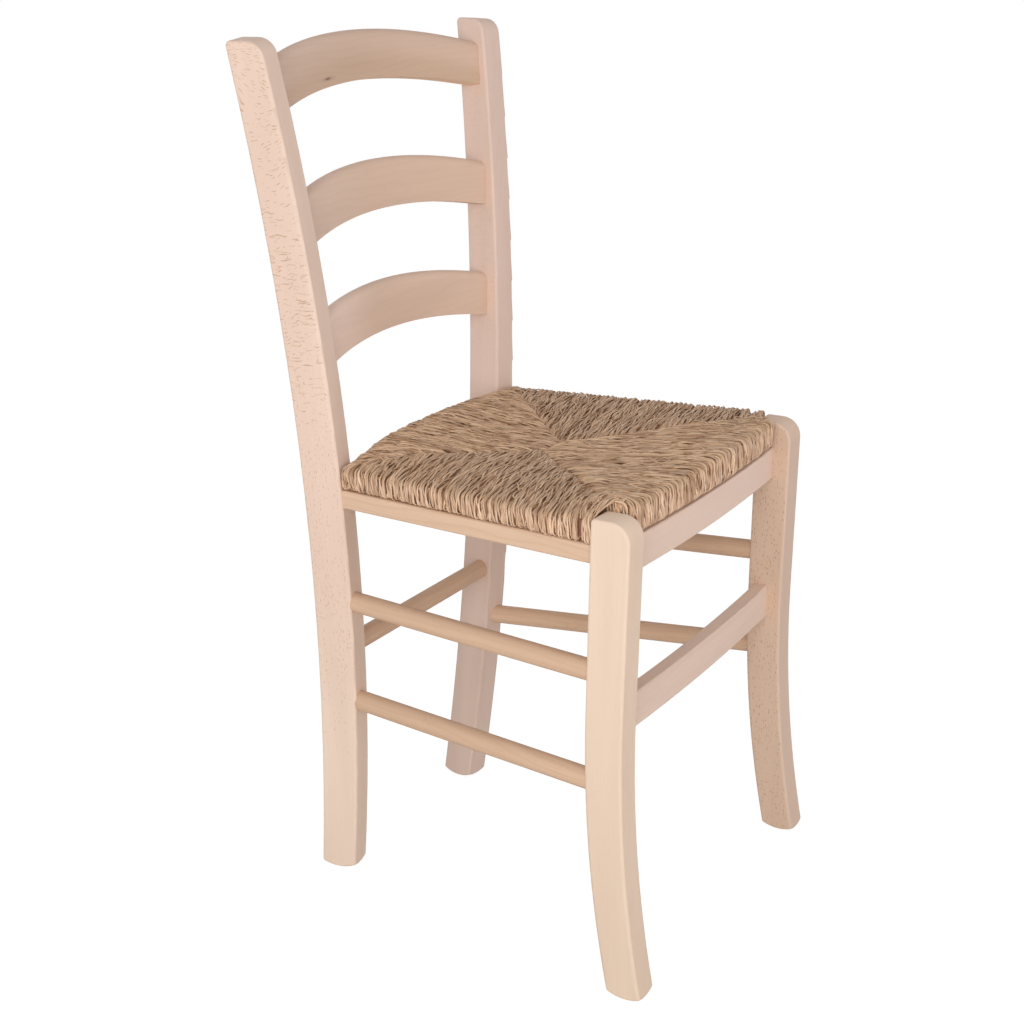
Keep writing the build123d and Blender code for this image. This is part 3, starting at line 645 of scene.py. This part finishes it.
def dress_wood():
    upright("back_post_left", ROSE, 1, lean=-POST_LEAN, specks=0.55, flecks=0.95, foot=(1.04, 1.08, 1.06))
    upright("back_post_right", GREY_PINK, 2, lean=POST_LEAN, specks=0.1, flecks=0.15, foot=(0.93, 0.95, 0.95))
    # The front legs' side faces are darkened by sides: painted shade, deepest on the far leg's inner face.
    upright("front_leg_left", PALE, 3, specks=0.05, foot=(0.96, 0.965, 0.97), sides=(0.943, 0.943, 0.943))
    upright("front_leg_right", TAN, 4, specks=1.0, sides=(0.905, 0.885, 0.845))
    # top_edge_light pales the top slat along its upper edge: painted light.
    top_edge_light = (1.115, 1.15, 1.25)
    # The top slat's underside is made paler by under_light: painted light.
    slat("top_slat", BROWN, 5, left=(1.04, 1.05, 1.07), edge=top_edge_light, under_light=(1.5, 1.5, 1.5), knot=True)
    # left makes every slat paler toward its left end: painted light.
    slat("middle_slat", SLAT, 6, left=(1.04, 1.07, 1.12))
    slat("lower_slat", SLAT, 7, left=(1.2, 1.26, 1.36), edge=(1.02, 1.03, 1.05))
    board("front_apron", PINK, 9, lines=0.15)
    board("front_stretcher", PINK, 10, lines=0.4, dashes=0.25)
    board("rear_rail", SLAT, 13)
    board("rear_stretcher", DOWEL, 18, lines=1.0, dashes=0.5)
    # The seat frame takes the darkened colour: painted shade.
    board("seat_frame_front", SAWN_IN_SHADE, 19)
    board("seat_frame_rear", SAWN_IN_SHADE, 20)
    for index, (end, sign) in enumerate((("left", -1), ("right", 1))):
        board("side_rail_" + end, YELLOW, 11 + index, Vector((RAIL_LEAN * sign, -1, 0)), lines=1.5)
        board("seat_frame_side_" + end, SAWN_IN_SHADE, 21 + index, Vector((SEAT_FRAME_LEAN * sign, -1, 0)))
        along = Vector((STRETCHER_LEAN * sign, -1, 0))
        for level, height in enumerate(("upper_", "lower_")):
            seed = 14 + 2 * level + index
            board("side_stretcher_" + height + end, DOWEL, seed, along, lines=1.0, dashes=0.5)


def dress_screws():
    steel = Shader("screw_steel", roughness=0.35, specular=0.5)
    steel.surface.inputs["Metallic"].default_value = 1.0
    place = steel.node("ShaderNodeTexCoord").outputs["Object"]
    scuff = steel.noise(steel.scaled(place, STEEL_WAVES), 3.0)
    steel.colour(steel.mix(scuff, DULL_STEEL, BRIGHT_STEEL))
    steel.roughness(steel.ramp(scuff, 0.2, 0.8, *STEEL_ROUGHNESS))
    steel.bump(scuff, *STEEL_BUMP)
    dress("seat_screws", steel.material)


# Form of the rush: its plan, its top and its seams

def low_z(y):
    """Height of the underside of the rush."""
    return RUSH_LOW.z + SEAT_TILT * (REAR_Y - y)


def corner_inset(distance, radius):
    """How far a rounded corner pulls the edge in, this far along the edge from the corner."""
    along = np.clip(distance, 0.0, radius)
    return radius - np.sqrt(np.maximum(radius**2 - (radius - along) ** 2, 0.0))


def side_half(y):
    """Half the width of the seat between its side edges."""
    share = (REAR_Y - y) / (REAR_Y - NOTCH_Y)
    half = REAR_HALF + share * (NOTCH_HALF - REAR_HALF)
    return half - corner_inset(REAR_Y - y, REAR_CORNER)


def rear_edge(x):
    bow = REAR_BOW * max(0.0, 1 - (x / REAR_BOW_HALF) ** 2)
    return REAR_Y + bow - corner_inset(REAR_HALF - abs(x), REAR_CORNER)


def front_edge(x):
    return FRONT_Y - FRONT_BOW * (1 - (x / FRONT_HALF) ** 2) + corner_inset(FRONT_HALF - abs(x), SEAT_CORNER)


def top_height(x, y):
    """Height of the rush's top above its underside.

    It is dished in the middle, crowned along the rear, lower at the sides and higher at the left front leg.
    """
    away = ((x - DISH_MIDDLE[0]) / DISH_REACH[0]) ** 2 + ((y - DISH_MIDDLE[1]) / DISH_REACH[1]) ** 2
    dip = DISH * np.maximum(0.0, 1 - away) ** SLOPE_POWER
    crown = REAR_CROWN * np.maximum(0.0, 1 - (x / REAR_HALF) ** 2)
    crown = crown * np.exp(-(((REAR_Y - y) / CROWN_RUN) ** 2))
    near_side = np.clip(1 - (side_half(y) - np.abs(x)) / SIDE_FALL_RUN, 0.0, 1.0) ** SLOPE_POWER
    from_leg = np.hypot(x + FRONT_HALF, y - NOTCH_Y + NOTCH_LIFT_AHEAD) / NOTCH_LIFT_REACH
    heap = NOTCH_LIFT * np.exp(-from_leg ** 2)
    return SEAT_THICK - dip + crown + heap - near_side * np.where(x < 0, SIDE_FALL_LEFT, SIDE_FALL_RIGHT)


def seam_y(x, corner_y, corner_x):
    """Where a cord along Y meets the seam: on the diagonal, or on the ridge in the middle."""
    share = np.clip((abs(x) - RIDGE_HALF) / (corner_x - RIDGE_HALF), 0.0, 1.0)
    return RIDGE_Y + share * (corner_y - RIDGE_Y)


def seam_x(y, corner_y, corner_x):
    """Half width between the seams where a cord along X meets them."""
    share = np.clip((y - RIDGE_Y) / (corner_y - RIDGE_Y), 0.0, 1.0)
    return RIDGE_HALF + share * (corner_x - RIDGE_HALF)


# Rush cords

def profile(run_top, run_low):
    """A cord's way round the rail, from the seam below to the seam on top.

    Each step has its kind, its distance inward from the edge and its height.
    """
    steps = []
    for reach in np.linspace(run_low, LOW_ROUND, max(3, int(run_low / LOW_STEP)), endpoint=False):
        steps.append(("low", reach, CORD_RADIUS))
    bend = LOW_ROUND - CORD_RADIUS
    for turn in np.radians(np.linspace(0, 90, 5)):
        steps.append(("side", LOW_ROUND - bend * math.sin(turn), LOW_ROUND - bend * math.cos(turn)))
    for height in np.linspace(LOW_ROUND, SEAT_THICK - TOP_ROUND, 6)[1:-1]:
        steps.append(("side", CORD_RADIUS, height))
    bend = TOP_ROUND - CORD_RADIUS
    for turn in np.radians(np.linspace(0, 90, 7)):
        height = SEAT_THICK - TOP_ROUND + bend * math.sin(turn)
        steps.append(("turn", TOP_ROUND - bend * math.cos(turn), height))
    for reach in np.linspace(TOP_ROUND, run_top, max(5, int(run_top / TOP_STEP)))[1:]:
        steps.append(("top", reach, SEAT_THICK))
    return steps


def walked(path):
    """Distance along a path at each of its points."""
    return np.concatenate(([0], np.cumsum(np.linalg.norm(np.diff(path, axis=0), axis=1))))


def cord_path(edge, inward, run_top, run_low, lean):
    """Centre line of one cord, in millimetres. Lean drifts it sideways toward the ridge near the seam."""
    points = []
    sideways = np.array((-inward[1], inward[0]))
    for kind, reach, height in profile(run_top, run_low):
        drift = lean * max(0.0, reach / run_top) ** 2 if kind in ("top", "turn") else 0.0
        x, y = np.array(edge) + np.array(inward) * reach + sideways * drift
        lift = top_height(x, y) - SEAT_THICK
        if kind == "low":
            z = height + DIVE_DROP * max(0.0, 1 - (run_low - reach) / DIVE_RUN) ** 2
            z += EDGE_LIFT * max(0.0, 1 - reach / EDGE_LIFT_RUN)
        elif kind == "side":
            z = height + lift * height / SEAT_THICK + EDGE_LIFT
        elif kind == "turn":
            z = height + lift + EDGE_LIFT
        else:
            z = height + EDGE_LIFT + lift - CORD_RADIUS
            z -= DIVE_DROP * min(1.0, run_top / DIVE_FULL) * max(0.0, 1 - (run_top - reach) / DIVE_RUN) ** 2
        points.append((x, y, low_z(y) + z))
    path = np.array(points)
    path[:, :2] += sideways * wobble(walked(path), *CORD_WOBBLE)[:, None]
    path[1:-1] = 0.25 * path[:-2] + 0.5 * path[1:-1] + 0.25 * path[2:]
    return path


def frames(path):
    """Tangent, outward normal and binormal along a path that goes round the seat's inside."""
    tangent = np.gradient(path, axis=0)
    tangent /= np.linalg.norm(tangent, axis=1)[:, None]
    flat = np.cross(path[0] - path[len(path) // 2], np.array((0.0, 0.0, 1.0)))
    side = np.tile(flat / np.linalg.norm(flat), (len(path), 1))
    side -= tangent * np.sum(side * tangent, axis=1)[:, None]
    side /= np.linalg.norm(side, axis=1)[:, None]
    return tangent, np.cross(side, tangent), side


def wobble(length, size, reach, count=3):
    """A smooth random wave along a strand, about this size either way."""
    waves = np.zeros_like(length)
    for _ in range(count):
        waves += np.sin(length / reach * rng.uniform(0.6, 1.7) + rng.uniform(0, 2 * math.pi)) / count
    return size * waves


def leaf_rings(path, start, fullness):
    """Cross-sections of one leaf of the cord, which winds round the cord's centre line."""
    tangent, out, side = frames(path)
    length = walked(path)
    twist = LEAF_TWIST * rng.uniform(*LEAF_TWIST_SPREAD)
    angle = start + rng.normal(0, LEAF_TURN_SPREAD) + 2 * math.pi * length / twist
    angle = angle + wobble(length, *LEAF_TURN_WOBBLE)
    reach = fullness * LEAF_OFFSET * rng.uniform(*LEAF_OFFSET_SPREAD)
    reach = reach * (1 + wobble(length, *LEAF_OFFSET_WOBBLE))
    radial = np.cos(angle)[:, None] * out + np.sin(angle)[:, None] * side
    around = np.cross(tangent, radial)
    centre = path + radial * reach[:, None]
    wide = fullness * LEAF_HALF_WIDE * rng.uniform(*LEAF_WIDE_SPREAD)
    wide = wide * (1 + wobble(length, *LEAF_WIDE_WOBBLE))
    thick = LEAF_HALF_THICK * rng.uniform(*LEAF_THICK_SPREAD)
    thick = thick * (1 + wobble(length, *LEAF_THICK_WOBBLE))
    return ring_stack(centre, radial, around, thick, wide), length


def ring_stack(centre, radial, around, thick, wide):
    """Flat oval rings along a centre line, thick along the radial direction and wide along the other."""
    turn = 2 * math.pi * np.arange(LEAF_SIDES) / LEAF_SIDES
    return centre[:, None, :] + (
        np.cos(turn)[None, :, None] * radial[:, None, :] * thick[:, None, None]
        + np.sin(turn)[None, :, None] * around[:, None, :] * wide[:, None, None]
    )


def stray_leaf(edge, inward, run):
    """A loose leaf that lies across the cords for a short way, with its ends tucked in."""
    start = rng.uniform(0.0, max(1.0, run - STRAY_ROOM)) + TOP_ROUND
    slant = rng.normal(0.0, STRAY_SLANT)
    along = np.array((inward[0] - slant * inward[1], inward[1] + slant * inward[0]))
    at = np.linspace(0.0, 1.0, 7)
    spots = np.array(edge) + np.array(inward) * start + along * (at * rng.uniform(*STRAY_LENGTH))[:, None]
    spots[:, 1] = np.minimum(spots[:, 1], REAR_Y - STRAY_REAR_INSET)
    inside = side_half(spots[:, 1]) - STRAY_SIDE_INSET
    spots[:, 0] = np.clip(spots[:, 0], -inside, inside)
    rise = rng.uniform(*STRAY_RISE) - STRAY_TUCK * (2 * at - 1) ** 2
    x, y = spots.T
    path = np.column_stack((x, y, low_z(y) + EDGE_LIFT + top_height(x, y) + rise))
    _, out, side = frames(path)
    length = at * np.linalg.norm(path[-1] - path[0])
    wide = LEAF_HALF_WIDE * rng.uniform(*STRAY_WIDE) * np.ones(len(at))
    return ring_stack(path, out, side, STRAY_FLATNESS * wide, wide), length


def edge_light_share(points):
    """How far points lie below the top of the seat, from 0 to 1. The wraps at the edge get painted light in
    this share.
    """
    x, y, z = points.T
    below_top = low_z(y) + EDGE_LIFT + top_height(x, y) - z
    return np.clip((below_top - EDGE_LIGHT_FROM) / EDGE_LIGHT_RUN, 0.0, 1.0)


class Strands:
    """Collects many thin tubes into one mesh, each with its own strip of the texture map and its own tint."""

    def __init__(self):
        self.tubes = []

    def add(self, rings, length, tint):
        self.tubes.append((rings, length, tint))

    def skin(self, index, longest, first):
        """Faces of one tube, with its corners counted from the first, and their places on the texture map."""
        rings, length, _ = self.tubes[index]
        rows, sides = rings.shape[:2]
        faces, maps = [], []
        for row in range(rows - 1):
            u0, u1 = length[row] / longest, length[row + 1] / longest
            for k in range(sides):
                a, b = first + row * sides + k, first + row * sides + (k + 1) % sides
                faces.append((a, b, b + sides, a + sides))
                v0, v1 = [(index + (k + step) / sides) / len(self.tubes) for step in (0, 1)]
                maps.extend(((u0, v0), (u0, v1), (u1, v1), (u1, v0)))
        for row, order in ((0, range(sides - 1, -1, -1)), (rows - 1, range(sides))):
            faces.append(tuple(first + row * sides + k for k in order))
            maps.extend([(length[row] / longest, (index + 0.5) / len(self.tubes))] * sides)
        return faces, maps

    def build(self, name, material):
        longest = max(length[-1] for _, length, _ in self.tubes)
        verts, faces, maps, tints, alongs = [], [], [], [], []
        count = 0
        for index, (rings, length, tint) in enumerate(self.tubes):
            tube_faces, tube_maps = self.skin(index, longest, count)
            faces.extend(tube_faces)
            maps.extend(tube_maps)
            rows, sides = rings.shape[:2]
            verts.append(rings.reshape(-1, 3) * MM)
            tints.append(np.full(rows * sides, tint))
            alongs.append(np.repeat(length * MM, sides))
            count += rows * sides
        verts = np.concatenate(verts)
        obj = smooth_object(name, verts.tolist(), faces, material)
        layer = obj.data.uv_layers.new(name="OFBake")
        layer.data.foreach_set("uv", np.array(maps, dtype=np.float32).ravel())
        # The attribute edge holds the share of painted light on the wraps.
        edge = edge_light_share(verts / MM)
        fields = {"tint": np.concatenate(tints), "along": np.concatenate(alongs), "edge": edge}
        for label, values in fields.items():
            field = obj.data.attributes.new(label, "FLOAT", "POINT")
            field.data.foreach_set("value", values.astype(np.float32))
        return obj


def side_cords(sign):
    """Edge point, inward direction, run on top and lean toward the ridge of every cord of a side panel."""
    cords = []
    low, high = NOTCH_Y + 2 * CORD_RADIUS + BARE_GAP, REAR_Y - CORD_RADIUS
    count = round((high - low) / CORD_PITCH) + 1
    ends = [(NOTCH_Y + ahead, inset) for ahead, inset in END_CORDS]
    for y, inset in (*ends, *[(y, 0.0) for y in np.linspace(low, high, count)]):
        y += rng.normal(0, CORD_JITTER)
        half = side_half(y) - inset
        run = half - seam_x(y, *(REAR_SEAM if y > RIDGE_Y else FRONT_SEAM)) + SIDE_PAST_SEAM
        sweep = NOTCH_SWEEP * max(0.0, 1 - (y - NOTCH_Y) / NOTCH_SWEEP_RUN)
        lean = sign * (sweep - SEAM_LEAN * (RIDGE_Y - y))
        cords.append(((sign * half, y), (-sign, 0.0), run, lean))
    for y in np.arange(FRONT_Y + SEAT_CORNER, NOTCH_Y - CORD_PITCH, CORD_PITCH):
        cords.append(((sign * FRONT_HALF, y), (-sign, 0.0), NOTCH_RUN, 0.0))
    return cords


def long_cords(rear):
    """The same for every cord of the rear or the front panel."""
    cords = []
    half = (REAR_HALF if rear else FRONT_HALF) - CORD_RADIUS
    count = round(2 * half / CORD_PITCH) + 1
    for x in np.linspace(-half, half, count):
        x += rng.normal(0, CORD_JITTER)
        edge = rear_edge(x) if rear else front_edge(x)
        run = abs(edge - seam_y(x, *(REAR_SEAM if rear else FRONT_SEAM))) + LONG_PAST_SEAM
        lean = (-SEAM_LEAN if rear else SEAM_LEAN) * x
        cords.append(((x, edge), (0.0, -1.0 if rear else 1.0), run, lean))
    return cords


def rush_panel(panel, material):
    strands = Strands()
    if panel in ("left", "right"):
        cords = side_cords(-1 if panel == "left" else 1)
        # Side panels take the lower tint: painted shade.
        middle, spread = SIDE_SHADED_TINT
    else:
        cords = long_cords(panel == "rear")
        middle, spread = LONG_TINT
    for edge, inward, run, lean in cords:
        run = max(run, SHORTEST_TOP)
        path = cord_path(edge, inward, run, max(run, SHORTEST_LOW), lean)
        first = rng.uniform(0, 2 * math.pi)
        fullness = rng.uniform(*CORD_FULLNESS)
        cord_tint = rng.normal(0, CORD_TINT_SPREAD)
        for leaf in range(LEAF_COUNT):
            rings, length = leaf_rings(path, first + 2 * math.pi * leaf / LEAF_COUNT, fullness)
            tint = middle + spread * (cord_tint + rng.normal(0, LEAF_TINT_SPREAD))
            strands.add(rings, length, float(np.clip(tint, 0.0, 1.0)))
    roomy = [cord for cord in cords if cord[2] > 2 * TOP_ROUND]
    for _ in range(STRAY_LEAVES):
        edge, inward, run, _ = roomy[rng.integers(len(roomy))]
        rings, length = stray_leaf(edge, inward, run)
        strands.add(rings, length, float(rng.uniform(*STRAY_TINT)))
    return strands.build("rush_" + panel, material)


def rush_material():
    rush = Shader("rush", roughness=0.6, specular=0.4)
    sheet = rush.node("ShaderNodeUVMap", uv_map="OFBake").outputs["UV"]
    place = rush.joined(rush.attribute("along"), rush.parts(sheet)["Y"])
    streak = rush.noise(rush.scaled(place, STREAK_WAVES), 3.0)
    patch = rush.noise(rush.scaled(place, PATCH_WAVES), 1.0)
    tone = rush.mix(rush.ramp(rush.attribute("tint"), 0.0, 1.0), RUSH_DARK, RUSH_PALE)
    tone = rush.mix(rush.ramp(patch, 0.56, 0.72, 0.0, 0.45), tone, RUSH_RED)
    tone = rush.mix(rush.ramp(streak, 0.4, 0.75, 0.0, 0.6), tone, STREAK_PALE)
    tone = rush.mix(rush.ramp(streak, 0.42, 0.25, 0.0, 0.45), tone, STREAK_DARK)
    # The wraps at the edge are made paler by the edge share: painted light.
    rush.colour(rush.mix(rush.attribute("edge"), tone, EDGE_LIGHT, blend="MULTIPLY"))
    rush.roughness(rush.ramp(streak, 0.3, 0.7, *RUSH_ROUGHNESS))
    rush.bump(streak, *RUSH_BUMP)
    return rush.material


def core_material():
    stuffing = Shader("rush_stuffing", roughness=0.85, specular=0.1)
    place = stuffing.node("ShaderNodeTexCoord").outputs["Object"]
    straw = stuffing.noise(stuffing.scaled(place, STUFFING_WAVES), 3.0)
    stuffing.colour(stuffing.mix(straw, STUFFING_DARK, STUFFING_PALE))
    stuffing.roughness(stuffing.ramp(straw, 0.3, 0.7, *STUFFING_ROUGHNESS))
    stuffing.bump(straw, *STUFFING_BUMP)
    return stuffing.material


def core_outline():
    """Plan of the stuffing, inside the cords that go round the edge."""
    rear = REAR_Y - CORE_INSET
    front = FRONT_Y + SEAT_CORNER
    rear_x = REAR_HALF - SEAT_CORNER
    front_x = FRONT_HALF - SEAT_CORNER
    leg_x = FRONT_HALF - CORE_INSET
    outline = [(side_half(y) - CORE_INSET, y) for y in np.linspace(CORE_STOP, rear, 24)]
    outline += [(x, rear_edge(x) - CORE_INSET) for x in np.linspace(rear_x, -rear_x, 25)]
    outline += [(CORE_INSET - side_half(y), y) for y in np.linspace(rear, CORE_STOP, 24)]
    outline += [(-leg_x, y) for y in np.linspace(CORE_STOP, front, 5)]
    outline += [(x, front_edge(x) + CORE_INSET) for x in np.linspace(-front_x, front_x, 25)]
    outline += [(leg_x, y) for y in np.linspace(front, CORE_STOP, 5)]
    return np.array(outline)


def rush_core(material):
    """The stuffing between the upper and the lower cords, so that no light shows through the seat."""
    outline = core_outline()
    middle = np.array((0.0, RIDGE_Y))
    count = len(outline)
    levels = len(CORE_SHARES)
    verts, faces = [], []
    for above in (False, True):
        for ring, share in enumerate(CORE_SHARES):
            for x, y in middle + (outline - middle) * share:
                if above:
                    z = EDGE_LIFT + top_height(x, y) - (CORE_INSET + (CORE_RIM_TOP if ring == 0 else 0.0))
                else:
                    z = CORE_INSET + (CORE_RIM_LOW if ring == 0 else 0.0)
                verts.append((x * MM, y * MM, (low_z(y) + z) * MM))
    rings = [*reversed(range(levels)), *range(levels, 2 * levels)]
    for first, second in zip(rings, rings[1:]):
        for k in range(count):
            n = (k + 1) % count
            faces.append((first * count + k, first * count + n, second * count + n, second * count + k))
    faces.append(tuple((levels - 1) * count + k for k in reversed(range(count))))
    faces.append(tuple((2 * levels - 1) * count + k for k in range(count)))
    return smooth_object("rush_stuffing", verts, faces, material)


def add_rush():
    material = rush_material()
    pieces = [rush_panel(panel, material) for panel in ("left", "right", "front", "rear")]
    pieces.append(rush_core(core_material()))
    for piece in pieces:
        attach(piece, "root")
        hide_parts("rush_weave")


bpy.context.scene.view_settings.view_transform = "Standard"
add_camera()
add_world()
add_area("key", KEY_AT, KEY_SIZE, KEY_POWER, KEY_COLOUR)
add_area("fill", FILL_AT, FILL_SIZE, FILL_POWER, FILL_COLOUR)
add_floor()
dress_wood()
dress_screws()
add_rush()
